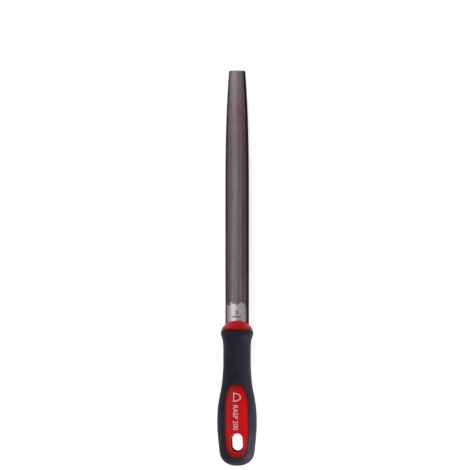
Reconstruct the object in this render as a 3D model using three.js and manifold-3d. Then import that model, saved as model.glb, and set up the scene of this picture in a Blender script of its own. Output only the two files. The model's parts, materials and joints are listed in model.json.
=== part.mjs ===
// Half-round wood rasp with a two-component handle, lying on its back as it rests on a bench. Millimetres, +Z up.
//
// The tool is drawn in its own frame: the handle's axis is the Y axis, y = 0 is the plane where the grip's collar
// meets the red nose, +Y runs to the tip, and +Z comes out of the blade's convex face. A group then lays it down.
import * as THREE from 'three';
import { mergeVertices } from 'three/addons/utils/BufferGeometryUtils.js';
import Module from 'manifold-3d';

// ---------------------------------------------------------------------------------------------------------------
// Driving dimensions
// ---------------------------------------------------------------------------------------------------------------
const GAP = 0.3; // clearance between two pieces that touch

const BLADE = {
  tipY: 206.8,
  shoulderY: 2.0, // where the full width ends, inside the nose
  width: 19.2,
  thickness: 5.8,
  backZ: -2.7, // the flat back, below the handle's axis
  edge: 0.7, // height of the blunt edges
  taperStartY: 100, // the sides are parallel up to here
  tipWidth: 13.2,
  tipThickness: 3.6,
  taperPower: 2.8,
  tipCorner: 0.9,
};

const TANG = {
  endY: -54,
  wide: { width: 10.4, thickness: 5.0, edge: 3.6, backZ: -2.5 },
  narrow: { width: 4.0, thickness: 2.6, edge: 1.9, backZ: -1.3 },
};

// Half-width of the grip along its axis: collar lip, waist, palm swell, butt.
const GRIP_WIDTH = [
  [-108.2, 12.9], [-94, 14.35], [-84.5, 15.3], [-74, 15.8], [-63, 15.4], [-53, 13.9], [-45, 12.35],
  [-36, 11.4], [-26, 10.95], [-14, 10.95], [-8.5, 11.4], [-5.6, 12.2], [-2.8, 12.9], [0, 12.65],
];
// Thickness over width, and how square the section is, from round at the collar to a flattened palm swell.
const GRIP_FLATNESS = [[-108.2, 0.84], [-90, 0.8], [-72, 0.8], [-52.5, 0.87], [-27, 0.97], [-8, 1], [0, 1]];
const GRIP_SQUARENESS = [[-108.2, 2.2], [-90, 2.35], [-60, 2.35], [-27, 2.05], [-8, 2], [0, 2]];
const BUTT = { startY: -97, length: 11.25, squareness: 2.3 };
const GRIP_TOP_Y = -0.15;

const CORE = {
  wall: [[-108.2, 4], [-60, 3.6], [-27, 2.7], [0, 2.6]], // how thick the grip is over it
  noseRadius: 12.35,
  noseHeight: 7.3,
  padSink: 0.15, // the window pads lie this far under the grip's surface
};

const WINDOW = { centreY: -72.15, halfLength: 28.85, halfWidth: 9.35, squareness: 3.2 };
const SLOT = { centreY: -88.9, width: 9.9, length: 15.8 };

const CUT_THROUGH = 40; // depth of a cutter that passes through the whole handle

// ---------------------------------------------------------------------------------------------------------------
// Helpers
// ---------------------------------------------------------------------------------------------------------------
const wasm = await Module();
wasm.setup();

/** A smooth value at x, through [x, value] pairs in rising x, that never overshoots them. */
function along(keys, x) {
  const slope = (i) => (keys[i + 1][1] - keys[i][1]) / (keys[i + 1][0] - keys[i][0]);
  const tangent = (i) => {
    if (i === 0) return slope(0);
    if (i === keys.length - 1) return slope(i - 1);
    const product = slope(i - 1) * slope(i);
    return product <= 0 ? 0 : (2 * product) / (slope(i - 1) + slope(i));
  };
  let i = 0;
  while (i < keys.length - 2 && x >= keys[i + 1][0]) i += 1;
  const step = keys[i + 1][0] - keys[i][0];
  const t = THREE.MathUtils.clamp((x - keys[i][0]) / step, 0, 1);
  return (
    keys[i][1] * (1 + 2 * t) * (1 - t) ** 2 + keys[i + 1][1] * t * t * (3 - 2 * t)
    + step * t * (1 - t) * (tangent(i) * (1 - t) - tangent(i + 1) * t)
  );
}

/** A closed loft through rings of equal length, in rising y, each running from +X over +Z to -X. */
function loft(rings) {
  const count = rings[0].length;
  const positions = rings.flat().flatMap((p) => [p.x, p.y, p.z]);
  const triangles = [];
  for (let ring = 0; ring + 1 < rings.length; ring += 1) {
    for (let j = 0; j < count; j += 1) {
      const next = (j + 1) % count;
      const a = ring * count + j;
      const b = ring * count + next;
      triangles.push(a, a + count, b + count, a, b + count, b);
    }
  }
  for (const end of [0, rings.length - 1]) {
    const centre = rings[end].reduce((sum, p) => sum.add(p), new THREE.Vector3()).divideScalar(count);
    const hub = positions.length / 3;
    positions.push(centre.x, centre.y, centre.z);
    for (let j = 0; j < count; j += 1) {
      const a = end * count + j;
      const b = end * count + ((j + 1) % count);
      triangles.push(hub, ...(end === 0 ? [a, b] : [b, a]));
    }
  }
  const geometry = new THREE.BufferGeometry();
  geometry.setAttribute('position', new THREE.Float32BufferAttribute(positions, 3));
  geometry.setIndex(triangles);
  return geometry;
}

/** A closed three.js geometry as a solid that can be cut and joined. */
function solid(geometry) {
  const bare = geometry.clone();
  bare.deleteAttribute('normal');
  bare.deleteAttribute('uv');
  const merged = mergeVertices(bare, 1e-4);
  return new wasm.Manifold(new wasm.Mesh({
    numProp: 3,
    vertProperties: new Float32Array(merged.attributes.position.array),
    triVerts: new Uint32Array(merged.index.array),
  }));
}

/** The geometry of a solid. */
function geometryOf(body) {
  const mesh = body.getMesh();
  const geometry = new THREE.BufferGeometry();
  geometry.setAttribute('position', new THREE.Float32BufferAttribute(mesh.vertProperties, 3));
  geometry.setIndex(Array.from(mesh.triVerts));
  return geometry;
}

/** A prism of an outline in x and y, right through the handle. */
function cutter(shape, curveSegments) {
  const geometry = new THREE.ExtrudeGeometry(shape, { depth: CUT_THROUGH, bevelEnabled: false, curveSegments });
  return geometry.translate(0, 0, -CUT_THROUGH / 2);
}

function node(name, geometry, color, roughness, metalness) {
  const mesh = new THREE.Mesh(geometry, new THREE.MeshStandardMaterial({ color, roughness, metalness }));
  mesh.name = name;
  return mesh;
}

// ---------------------------------------------------------------------------------------------------------------
// Blade: half-round body, shoulder and tang, one forging
// ---------------------------------------------------------------------------------------------------------------
const ARC_STEPS = 16;
const BACK_STEPS = 4;

/** One half-round section: an arc from edge to edge over the crest, then the flat back. */
function halfRound(y, { width, thickness, edge, backZ }, grow = 0) {
  const half = width / 2 + grow;
  const bottom = backZ - grow;
  const rise = thickness - edge;
  const radius = (half * half + rise * rise) / (2 * rise);
  const centreZ = backZ + thickness + grow - radius;
  const reach = Math.asin(half / radius);
  const ring = [];
  for (let i = 0; i <= ARC_STEPS; i += 1) {
    const angle = Math.PI / 2 - reach + (2 * reach * i) / ARC_STEPS;
    ring.push(new THREE.Vector3(radius * Math.cos(angle), y, centreZ + radius * Math.sin(angle)));
  }
  for (let i = 0; i <= BACK_STEPS; i += 1) {
    ring.push(new THREE.Vector3(THREE.MathUtils.lerp(-half, half, i / BACK_STEPS), y, bottom));
  }
  return ring;
}

/** The blade's section at y: parallel, then drawn in to a blunt tip with eased corners. */
function bladeSection(y) {
  const run = THREE.MathUtils.clamp((y - BLADE.taperStartY) / (BLADE.tipY - BLADE.taperStartY), 0, 1);
  const taper = run ** BLADE.taperPower;
  const past = Math.max(0, y - (BLADE.tipY - BLADE.tipCorner));
  const eased = BLADE.tipCorner - Math.sqrt(Math.max(0, BLADE.tipCorner ** 2 - past ** 2));
  return {
    width: THREE.MathUtils.lerp(BLADE.width, BLADE.tipWidth, taper) - 2 * eased,
    thickness: THREE.MathUtils.lerp(BLADE.thickness, BLADE.tipThickness, run ** 2) - eased / 2,
    edge: BLADE.edge,
    backZ: BLADE.backZ,
  };
}

function bladeGeometry() {
  const rings = [
    halfRound(TANG.endY, TANG.narrow),
    halfRound(BLADE.shoulderY - 0.8, TANG.wide),
    halfRound(BLADE.shoulderY, bladeSection(BLADE.shoulderY)),
  ];
  const stations = [40, 80, 100, 115, 130, 142, 152, 161, 169, 176, 183, 189, 195, 201];
  for (const y of stations) rings.push(halfRound(y, bladeSection(y)));
  for (const share of [0, 0.6, 0.9, 1]) {
    const y = BLADE.tipY - BLADE.tipCorner * (1 - share);
    rings.push(halfRound(y, bladeSection(y)));
  }
  return loft(rings);
}

/** The hole that the nose and the core leave for the blade and its tang. */
function socketCutter() {
  return loft([
    halfRound(TANG.endY - GAP, TANG.narrow, GAP),
    halfRound(BLADE.shoulderY - 0.8 - GAP, TANG.wide, GAP),
    halfRound(BLADE.shoulderY - GAP, bladeSection(BLADE.shoulderY), GAP),
    halfRound(CORE.noseHeight + 5, bladeSection(BLADE.shoulderY), GAP),
  ]);
}

// ---------------------------------------------------------------------------------------------------------------
// Handle: hard core inside a soft grip
// ---------------------------------------------------------------------------------------------------------------
const GRIP_SIDES = 32;
const BUTT_ANGLES = [84, 72, 58, 44, 30, 15];
const GRIP_STATIONS = [
  -97, -90, -82, -74, -66, -58, -51, -44, -37, -30, -22, -14, -10.5, -8.5, -7, -5.6, -4.2, -2.8, -1.3,
];

/** One section of the handle, a squared ellipse, drawn in by inset and scaled by cap. */
function handleRing(y, inset, cap = 1) {
  const width = along(GRIP_WIDTH, y);
  const halfX = (width - inset) * cap;
  const halfZ = (width * along(GRIP_FLATNESS, y) - inset) * cap;
  const power = 2 / along(GRIP_SQUARENESS, y);
  const ring = [];
  for (let j = 0; j < GRIP_SIDES; j += 1) {
    const angle = (2 * Math.PI * j) / GRIP_SIDES;
    const x = Math.sign(Math.cos(angle)) * Math.abs(Math.cos(angle)) ** power;
    const z = Math.sign(Math.sin(angle)) * Math.abs(Math.sin(angle)) ** power;
    ring.push(new THREE.Vector3(halfX * x, y, halfZ * z));
  }
  return ring;
}

/** The handle's shape, drawn in by insetAt(y), from the butt to topY. */
function handleLoft(insetAt, topY) {
  const power = 2 / BUTT.squareness;
  const buttInset = insetAt(BUTT.startY);
  const rings = BUTT_ANGLES.map((degrees) => {
    const angle = THREE.MathUtils.degToRad(degrees);
    const y = BUTT.startY - (BUTT.length - buttInset) * Math.sin(angle) ** power;
    return handleRing(y, buttInset, Math.cos(angle) ** power);
  });
  for (const y of GRIP_STATIONS) rings.push(handleRing(y, insetAt(y)));
  const top = handleRing(0, insetAt(0));
  rings.push(top.map((p) => new THREE.Vector3(p.x, topY, p.z)));
  return loft(rings);
}

/** The window's outline, an oval with full ends, grown by grow. */
function windowShape(grow) {
  const steps = 40;
  const power = 2 / WINDOW.squareness;
  const points = [];
  for (let i = 0; i < steps; i += 1) {
    const angle = (2 * Math.PI * i) / steps;
    const x = Math.sign(Math.cos(angle)) * Math.abs(Math.cos(angle)) ** power;
    const y = Math.sign(Math.sin(angle)) * Math.abs(Math.sin(angle)) ** power;
    points.push(new THREE.Vector2(
      (WINDOW.halfWidth + grow) * x,
      WINDOW.centreY + (WINDOW.halfLength + grow) * y,
    ));
  }
  return new THREE.Shape(points);
}

/** The hanging slot's outline, with round ends. */
function slotShape() {
  const radius = SLOT.width / 2;
  const reach = SLOT.length / 2 - radius;
  const shape = new THREE.Shape();
  shape.absarc(0, SLOT.centreY + reach, radius, 0, Math.PI, false);
  shape.absarc(0, SLOT.centreY - reach, radius, Math.PI, 2 * Math.PI, false);
  return shape;
}

/** The domed nose, a cap of a sphere that stands on the collar. */
function noseGeometry() {
  const base = -GRIP_TOP_Y;
  const height = CORE.noseHeight - base;
  const radius = (CORE.noseRadius ** 2 + height ** 2) / (2 * height);
  const centre = CORE.noseHeight - radius;
  const steps = 10;
  const reach = Math.asin(CORE.noseRadius / radius);
  const profile = [new THREE.Vector2(0, base)];
  for (let i = steps; i >= 0; i -= 1) {
    const angle = (reach * i) / steps;
    profile.push(new THREE.Vector2(radius * Math.sin(angle), centre + radius * Math.cos(angle)));
  }
  return new THREE.LatheGeometry(profile, GRIP_SIDES);
}

function coreGeometry() {
  const body = solid(handleLoft((y) => along(CORE.wall, y), 2 * GAP));
  const pads = solid(handleLoft(() => CORE.padSink, GRIP_TOP_Y)).intersect(solid(cutter(windowShape(0))));
  const slot = solid(cutter(slotShape(), 10));
  return geometryOf(
    body.add(pads).add(solid(noseGeometry())).subtract(slot).subtract(solid(socketCutter())),
  );
}

function gripGeometry() {
  const outside = solid(handleLoft(() => 0, GRIP_TOP_Y));
  const cavity = solid(handleLoft((y) => along(CORE.wall, y) - GAP, 2 * GAP));
  return geometryOf(outside.subtract(cavity).subtract(solid(cutter(windowShape(GAP)))));
}

// ---------------------------------------------------------------------------------------------------------------
// Assembly
// ---------------------------------------------------------------------------------------------------------------
const tool = new THREE.Group();
tool.add(
  node('rasp_blade', bladeGeometry(), 0x7b6f72, 0.45, 1),
  node('handle_core', coreGeometry(), 0xb5161b, 0.35, 0),
  node('grip_sleeve', gripGeometry(), 0x26242f, 0.8, 0),
);

// On a bench the tool leans on two places: the back of the collar's lip, and the back edge of the tip.
const collar = GRIP_WIDTH.filter(([y]) => y > -20);
const [lipY, lipRadius] = collar.reduce((widest, key) => (key[1] > widest[1] ? key : widest));
const lean = Math.atan2(BLADE.backZ + lipRadius, BLADE.tipY - lipY);
tool.rotation.x = -lean;

// The origin is under the middle of the object's box.
const box = new THREE.Box3().setFromObject(tool, true);
tool.position.set(0, -(box.min.y + box.max.y) / 2, -box.min.z);

const group = new THREE.Group();
group.add(tool);

export default group;
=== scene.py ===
"""A half-round wood rasp with a two-component handle, built around its fixed frame.

Laid out as an add-on: property groups hold the sizes and colours, one operator makes each piece,
and a panel in the 3D view's sidebar lists them. Shapes are worked out in millimetres in the tool's
own frame: the handle's axis is Y, y = 0 is where the grip's collar meets the red nose, +Y runs to
the tip, and +Z comes out of the blade's convex face.
"""

import json
import math

import bmesh
import bpy
import numpy as np
from mathutils import Matrix, Vector


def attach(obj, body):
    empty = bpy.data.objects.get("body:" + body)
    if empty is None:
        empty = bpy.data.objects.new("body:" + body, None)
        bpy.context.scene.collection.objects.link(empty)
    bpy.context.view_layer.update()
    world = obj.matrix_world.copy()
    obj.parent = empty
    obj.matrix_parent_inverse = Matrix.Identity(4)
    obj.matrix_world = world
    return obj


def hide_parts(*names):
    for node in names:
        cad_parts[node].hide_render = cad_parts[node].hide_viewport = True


bl_info = {
    "name": "Half-round wood rasp",
    "version": (1, 0, 0),
    "blender": (4, 5, 0),
    "location": "View3D > Sidebar > Rasp",
    "description": "Builds the blade, handle core, grip and markings of a half-round wood rasp",
    "category": "Object",
}

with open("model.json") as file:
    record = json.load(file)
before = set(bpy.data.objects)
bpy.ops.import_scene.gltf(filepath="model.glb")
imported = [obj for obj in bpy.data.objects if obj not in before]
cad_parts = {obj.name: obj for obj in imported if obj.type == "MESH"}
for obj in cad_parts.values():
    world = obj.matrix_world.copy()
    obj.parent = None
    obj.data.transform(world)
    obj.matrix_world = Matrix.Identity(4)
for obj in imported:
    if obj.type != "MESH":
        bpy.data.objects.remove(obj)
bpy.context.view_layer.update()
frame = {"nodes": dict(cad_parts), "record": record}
MM = 0.001

# --------------------------------------------------------------------------------------------------
# The tool's frame, from the flat back of the blade that the record names
# --------------------------------------------------------------------------------------------------
BACK_POINT = Vector((0, 100, -2.7)) * MM  # where that mount sits, in the tool's frame


def tool_matrix():
    """Places the tool's frame in the row's frame."""
    back = next(m for m in frame["record"]["mounts"] if m["name"] == "blade_back")
    up = -Vector(back["axis"]).normalized()
    across = Vector((1, 0, 0))
    forward = up.cross(across)
    turn = Matrix((across, forward, up)).transposed()
    return Matrix.Translation(Vector(back["pos_m"]) - turn @ BACK_POINT) @ turn.to_4x4()


TOOL = tool_matrix()


def tool_box(node):
    """The lowest and highest corner of a CAD node in the tool's frame, in metres."""
    back = TOOL.inverted()
    places = np.array([back @ v.co for v in frame["nodes"][node].data.vertices])
    return Vector(places.min(axis=0)), Vector(places.max(axis=0))


BLADE_LOW, BLADE_HIGH = tool_box("rasp_blade")
CORE_HIGH = tool_box("handle_core")[1]
GRIP_HIGH = tool_box("grip_sleeve")[1]


def linear(code):
    """A linear colour from a six-figure web colour."""
    channels = [int(code[i : i + 2], 16) / 255 for i in (0, 2, 4)]
    return [c / 12.92 if c <= 0.04045 else ((c + 0.055) / 1.055) ** 2.4 for c in channels]


# --------------------------------------------------------------------------------------------------
# Sizes and colours that a user would change
# --------------------------------------------------------------------------------------------------
def length(name, description, default):
    """A length that a user can change, in metres."""
    return bpy.props.FloatProperty(
        name=name, description=description, default=default, unit="LENGTH", precision=5
    )


def number(name, description, default):
    """A whole number that a user can change."""
    return bpy.props.IntProperty(name=name, description=description, default=default, min=4, max=40)


def colour(name, description, code):
    """A colour that a user can change, from its web colour."""
    return bpy.props.FloatVectorProperty(
        name=name, description=description, default=linear(code), subtype="COLOR", min=0, max=1
    )


class RaspBladeSizes(bpy.types.PropertyGroup):
    """Sizes of the steel blade and of its cut teeth."""

    width: length("Width", "Width of the parallel part", 2 * BLADE_HIGH.x)
    thickness: length("Thickness", "From the flat back to the crest", BLADE_HIGH.z - BLADE_LOW.z)
    tip: length("Tip", "How far the tip is from the collar", BLADE_HIGH.y)
    tip_width: length("Tip width", "Width just before the tip", 13.2 * MM)
    tip_thickness: length("Tip thickness", "Thickness at the tip", 3.6 * MM)
    cut_start: length("Cut start", "Where the teeth begin, from the collar", 20 * MM)
    tooth_pitch: length("Tooth pitch", "From one tooth to the next along the blade", 1.8 * MM)
    tooth_rise: length("Tooth rise", "Height of a tooth over the blank", 0.22 * MM)
    pit_depth: length("Pit depth", "Depth of the pit in front of a tooth", 0.26 * MM)
    crown_columns: number("Crown columns", "Columns of teeth round the convex face", 16)
    back_columns: number("Back columns", "Columns of teeth across the flat back", 13)


class RaspHandleSizes(bpy.types.PropertyGroup):
    """Sizes of the handle's core and grip."""

    palm_width: length("Palm width", "Width of the palm swell", 2 * GRIP_HIGH.x)
    nose_radius: length("Nose radius", "Radius of the red nose at the collar", CORE_HIGH.x)
    nose_height: length("Nose height", "Height of the dome over the collar", CORE_HIGH.y + 0.9 * MM)
    window_width: length("Window width", "Width of the red window", 18.7 * MM)
    window_length: length("Window length", "Length of the red window", 57.7 * MM)
    slot_width: length("Slot width", "Width of the hanging slot", 9.7 * MM)
    slot_length: length("Slot length", "Length of the hanging slot", 15.0 * MM)
    slot_rounding: length("Slot rounding", "Radius of the hanging slot's edges", 0.8 * MM)
    slot_draft: length("Slot draft", "How far each side of the slot closes in at its middle", 0.8 * MM)
    lip_rounding: length("Lip rounding", "Radius of the grip's edge round the window", 0.7 * MM)
    dimple_depth: length("Dimple depth", "Depth of the round dimple on the neck", 0.7 * MM)


class RaspColours(bpy.types.PropertyGroup):
    """Colours of the finishes."""

    cut_steel: colour("Cut steel", "Toothed steel on the crown", "a89a9d")
    shoulder_steel: colour("Shoulder steel", "Ground steel of the uncut shoulder", "cbc2c4")
    # Pit steel also paints the shade along the blade's edges.
    pit_steel: colour("Pit steel", "Dark steel in the pits and along the edges", "281a26")
    core_red: colour("Core red", "Hard plastic of the core", "b60a10")
    grip_dark: colour("Grip", "Soft plastic of the grip", "171526")
    print_silver: colour("Print", "Silver print on the window", "cbb6b8")
    mark_dark: colour("Mark", "Stamped mark on the shoulder", "2e282c")
    floor_pale: colour("Floor", "Plain floor", "d4d4d4")


# --------------------------------------------------------------------------------------------------
# Fixed proportions, in millimetres in the tool's frame
# --------------------------------------------------------------------------------------------------
# The handle's tables are pairs of a place along the axis and a value there.
PALM_HALF = 15.8
GRIP_WIDTH = [
    (-108.2, 12.9), (-94, 14.35), (-84.5, 15.3), (-74, PALM_HALF), (-63, 15.4), (-53, 13.9),
    (-45, 12.35), (-36, 11.4), (-26, 10.95), (-14, 10.95), (-8.5, 11.4), (-5.6, 12.2), (-2.8, 12.9),
    (0, 12.65),
]
GRIP_FLATNESS = [(-108.2, 0.84), (-90, 0.8), (-72, 0.8), (-52.5, 0.87), (-27, 0.97), (-8, 1), (0, 1)]
GRIP_SQUARENESS = [(-108.2, 2.2), (-90, 2.35), (-60, 2.35), (-27, 2.05), (-8, 2), (0, 2)]
GRIP_WALL = [(-108.2, 4), (-60, 3.6), (-27, 2.7), (0, 2.6)]
GRIP_TOP = -0.15  # where the collar ends
COLLAR_ROUNDING = 0.7
BUTT_START, BUTT_LENGTH, BUTT_SQUARENESS = -97, 11.25, 2.3
PARTING_DEPTH, PARTING_HALF = 0.05, 0.25  # the fine groove along both sides of the grip
WINDOW_CENTRE, WINDOW_SQUARENESS = -72.15, 3.2
PAD_GAP = 0.12  # between the red pads and the grip's windows
PAD_SINK = 0.08  # how far the pads lie under the grip's own surface
PAD_EDGE = 0.35  # radius of the pads' outer edge
SLOT_CENTRE, SLOT_LEAN = (0.5, -89.2), math.radians(2.5)
SLOT_CLEARANCE = 0.4  # how much further out on each side the core's body is cut than the slot
DIMPLE_CENTRE, DIMPLE_RADIUS = (-0.9, -35.9), 3.5
DIMPLE_HEIGHT = 10.2  # how high its floor lies over the handle's axis

SHOULDER_END = 2.0  # where the shoulder ends inside the nose, and the tang begins
TAPER_START, TAPER_POWER = 100, 2.8
TIP_CORNER = 0.9  # radius of the blunt tip's edge
# where the painted light on the blade's tip begins
TIP_LIGHT_START = 150
EDGE_HEIGHT = 0.7  # height of the blade's narrow sides
SHADE_CENTRE_SHIFT = -0.45  # the painted edge shade is centred a little to the left of the crown's middle
BACK_Z = BACK_POINT.z / MM
TANG = [(-54, 4.0, 2.6, 1.9, -1.3), (1.2, 10.4, 5.0, 3.6, -2.5)]  # y, width, thickness, edge, back


def along(keys, x):
    """Smooth values at x, through (x, value) pairs in rising x, that never overshoot them."""
    places, values = np.array(keys, float).T
    steps = np.diff(places)
    slopes = np.diff(values) / steps
    both = slopes[:-1] * slopes[1:]
    inner = np.where(both > 0, 2 * both / np.where(both > 0, slopes[:-1] + slopes[1:], 1), 0)
    tangents = np.concatenate([slopes[:1], inner, slopes[-1:]])
    i = np.clip(np.searchsorted(places, x, side="right") - 1, 0, len(steps) - 1)
    t = np.clip((x - places[i]) / steps[i], 0, 1)
    ends = values[i] * (1 + 2 * t) * (1 - t) ** 2 + values[i + 1] * t * t * (3 - 2 * t)
    return ends + steps[i] * t * (1 - t) * (tangents[i] * (1 - t) - tangents[i + 1] * t)


def rounding(distance, radius):
    """How far an edge of this radius has dropped at each distance inside it."""
    inside = np.clip(radius - np.asarray(distance, float), 0, radius)
    return radius - np.sqrt(radius**2 - inside**2)


# --------------------------------------------------------------------------------------------------
# Mesh helpers
# --------------------------------------------------------------------------------------------------
def quads(rows, columns, wrap_rows=False, wrap_columns=False):
    """The faces of a grid of points, rows by columns, as rows of four indices."""
    r = np.arange(rows if wrap_rows else rows - 1)[:, None]
    c = np.arange(columns if wrap_columns else columns - 1)[None, :]
    r1, c1 = (r + 1) % rows, (c + 1) % columns
    corners = [r * columns + c, r * columns + c1, r1 * columns + c1, r1 * columns + c]
    return np.stack(np.broadcast_arrays(*corners), axis=-1).reshape(-1, 4)


def mesh_from(name, points, faces, weld=0.0):
    """A mesh from points in millimetres, with outward faces. Points closer than weld become one."""
    mesh = bpy.data.meshes.new(name)
    mesh.from_pydata((np.asarray(points, float) * MM).tolist(), [], [list(map(int, f)) for f in faces])
    build = bmesh.new()
    build.from_mesh(mesh)
    if weld:
        bmesh.ops.remove_doubles(build, verts=build.verts, dist=weld * MM)
        loose = [v for v in build.verts if not v.link_faces]
        bmesh.ops.delete(build, geom=loose, context="VERTS")
    bmesh.ops.recalc_face_normals(build, faces=build.faces)
    build.to_mesh(mesh)
    build.free()
    return mesh


def ring_at(places, y):
    """A cross-section's x, z points, laid at y."""
    return np.column_stack([places[:, 0], np.full(len(places), y), places[:, 1]])


def tube(name, rings):
    """A closed mesh through rings of points, with a flat face at each end."""
    count = len(rings[0])
    total = len(rings) * count
    faces = quads(len(rings), count, wrap_columns=True).tolist()
    faces += [list(range(count)), list(range(total - count, total))]
    return mesh_from(name, np.concatenate(rings), faces)


def piece(mesh, material, sharp=35):
    """A piece of the one body, laid down in the row's frame from a mesh in the tool's frame."""
    mesh.transform(TOOL)
    mesh.shade_smooth()
    mesh.set_sharp_from_angle(angle=math.radians(sharp))
    mesh.materials.append(material)
    made = bpy.data.objects.new(mesh.name, mesh)
    bpy.context.scene.collection.objects.link(made)
    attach(made, "root")
    return made


def combined(mesh, other, operation):
    """The mesh joined with, or cut by, another mesh."""
    pair = [bpy.data.objects.new(m.name, m) for m in (mesh, other)]
    for member in pair:
        bpy.context.scene.collection.objects.link(member)
    cut = pair[0].modifiers.new("cut", "BOOLEAN")
    cut.object, cut.operation, cut.solver = pair[1], operation, "EXACT"
    ready = pair[0].evaluated_get(bpy.context.evaluated_depsgraph_get())
    result = bpy.data.meshes.new_from_object(ready)
    result.name = mesh.name + "_" + operation.lower()
    for member in pair:
        bpy.data.objects.remove(member)
    if not result.polygons:
        raise RuntimeError(f"{operation} left nothing of {mesh.name}")
    return result


# --------------------------------------------------------------------------------------------------
# Shader helpers and the effects that several materials share
# --------------------------------------------------------------------------------------------------
class Graph:
    """Adds and joins the nodes of one material or group."""

    def __init__(self, tree):
        self.tree = tree

    def feed(self, socket, value):
        """Joins a socket to another node's output, or sets it to a plain value."""
        if isinstance(value, bpy.types.NodeSocket):
            self.tree.links.new(value, socket)
        else:
            socket.default_value = value

    def node(self, kind, inputs=None, **settings):
        """A new node, with its settings made before its inputs."""
        made = self.tree.nodes.new(kind)
        for key, value in settings.items():
            setattr(made, key, value)
        for key, value in (inputs or {}).items():
            self.feed(made.inputs[key], value)
        return made

    def math(self, operation, *values):
        return self.node("ShaderNodeMath", dict(enumerate(values)), operation=operation).outputs[0]

    def times(self, value, factor):
        return self.math("MULTIPLY", value, factor)

    def noise(self, inputs):
        return self.node("ShaderNodeTexNoise", inputs).outputs["Fac"]

    def parts(self, vector):
        """The X, Y and Z of a vector."""
        return self.node("ShaderNodeSeparateXYZ", {"Vector": vector}).outputs

    def from_mesh(self, label):
        """A value that the mesh holds at each of its points."""
        return self.node("ShaderNodeAttribute", attribute_name=label).outputs["Fac"]

    def effect(self, name, inputs):
        """The outputs of a shared effect, placed with its own inputs."""
        return self.node("ShaderNodeGroup", inputs, node_tree=shared_effect(name)).outputs

    def ramp(self, value, stops):
        """A ramp of greys through (position, grey) stops."""
        made = self.node("ShaderNodeValToRGB", {"Fac": value})
        elements = made.color_ramp.elements
        while len(elements) < len(stops):
            elements.new(0.5)
        for element, (position, grey) in zip(elements, stops):
            element.position = position
            element.color = (grey, grey, grey, 1)
        return made.outputs["Color"]

    def ease(self, value, start, end):
        """0 before start and 1 past end, changing smoothly between them. end may be the lower one."""
        rising = start < end
        inputs = {
            "Value": value,
            "From Min": min(start, end),
            "From Max": max(start, end),
            "To Min": 0 if rising else 1,
            "To Max": 1 if rising else 0,
        }
        made = self.node("ShaderNodeMapRange", inputs, interpolation_type="SMOOTHSTEP", clamp=True)
        return made.outputs["Result"]

    def layered(self, base, *layers):
        """A base colour with (amount, colour) layers mixed over it in turn."""
        for share, over in layers:
            made = self.node("ShaderNodeMix", {0: share}, data_type="RGBA")
            for socket, value in ((made.inputs[6], base), (made.inputs[7], over)):
                plain = not isinstance(value, bpy.types.NodeSocket)
                self.feed(socket, (*value[:3], 1) if plain else value)
            base = made.outputs[2]
        return base


def fill_grain(g, given, out):
    """Fine moulded or blasted grain: a height and a mask of its hollows."""
    spread = {"Vector": given["Vector"], "Scale": given["Scale"]}
    fine = g.noise({**spread, "Detail": 3.0, "Roughness": given["Softness"]})
    cells = g.node("ShaderNodeTexVoronoi", spread, feature="SMOOTH_F1").outputs["Distance"]
    height = g.math("MULTIPLY_ADD", cells, 0.6, g.times(fine, 0.6))
    g.feed(out["Height"], height)
    g.feed(out["Hollows"], g.ramp(height, [(0.25, 1.0), (0.6, 0.0)]))


def fill_wear(g, given, out):
    """Soft patches and short scuffs from handling, as masks."""
    soft = {"Scale": given["Patch scale"], "Detail": 4.0, "Roughness": 0.55}
    patches = g.noise({"Vector": given["Vector"], **soft})
    slant = {"Rotation": (0.2, 0.1, 0.6), "Scale": (1.0, 0.12, 0.6)}
    slanted = g.node("ShaderNodeMapping", {"Vector": given["Vector"], **slant}).outputs["Vector"]
    short = {"Scale": given["Scuff scale"], "Detail": 2.0, "Distortion": 0.4}
    scuffs = g.ramp(g.noise({"Vector": slanted, **short}), [(0.66, 0.0), (0.74, 1.0)])
    g.feed(out["Patches"], g.ramp(patches, [(0.35, 0.0), (0.7, 1.0)]))
    g.feed(out["Scuffs"], g.times(scuffs, patches))


def fill_lines(g, given, out):
    """Fine parallel lines, from rolling or grinding, as a mask. Stretch sets which way they run."""
    pulled = {0: given["Vector"], 1: given["Stretch"]}
    place = g.node("ShaderNodeVectorMath", pulled, operation="MULTIPLY").outputs["Vector"]
    lines = g.noise({"Vector": place, "Scale": given["Scale"], "Detail": 3.0, "Roughness": 0.6})
    g.feed(out["Lines"], lines)


# For each shared effect: what fills it, its inputs beside the Vector with their defaults, its outputs.
EFFECTS = {
    "Surface grain": (fill_grain, {"Scale": 2500.0, "Softness": 0.5}, ["Height", "Hollows"]),
    "Handling wear": (fill_wear, {"Patch scale": 60.0, "Scuff scale": 900.0}, ["Patches", "Scuffs"]),
    "Drawn lines": (fill_lines, {"Stretch": (1.0, 0.02, 1.0), "Scale": 900.0}, ["Lines"]),
}


def shared_effect(name):
    """The node group of a shared effect, which is built once, when a material first asks for it."""
    group = bpy.data.node_groups.get(name)
    if group:
        return group
    fill, defaults, outputs = EFFECTS[name]
    group = bpy.data.node_groups.new(name, "ShaderNodeTree")
    group.interface.new_socket("Vector", in_out="INPUT", socket_type="NodeSocketVector")
    for label, default in defaults.items():
        kind = "NodeSocketVector" if isinstance(default, tuple) else "NodeSocketFloat"
        socket = group.interface.new_socket(label, in_out="INPUT", socket_type=kind)
        socket.default_value = default
    for label in outputs:
        group.interface.new_socket(label, in_out="OUTPUT", socket_type="NodeSocketFloat")
    g = Graph(group)
    fill(g, g.node("NodeGroupInput").outputs, g.node("NodeGroupOutput").inputs)
    return group


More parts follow.
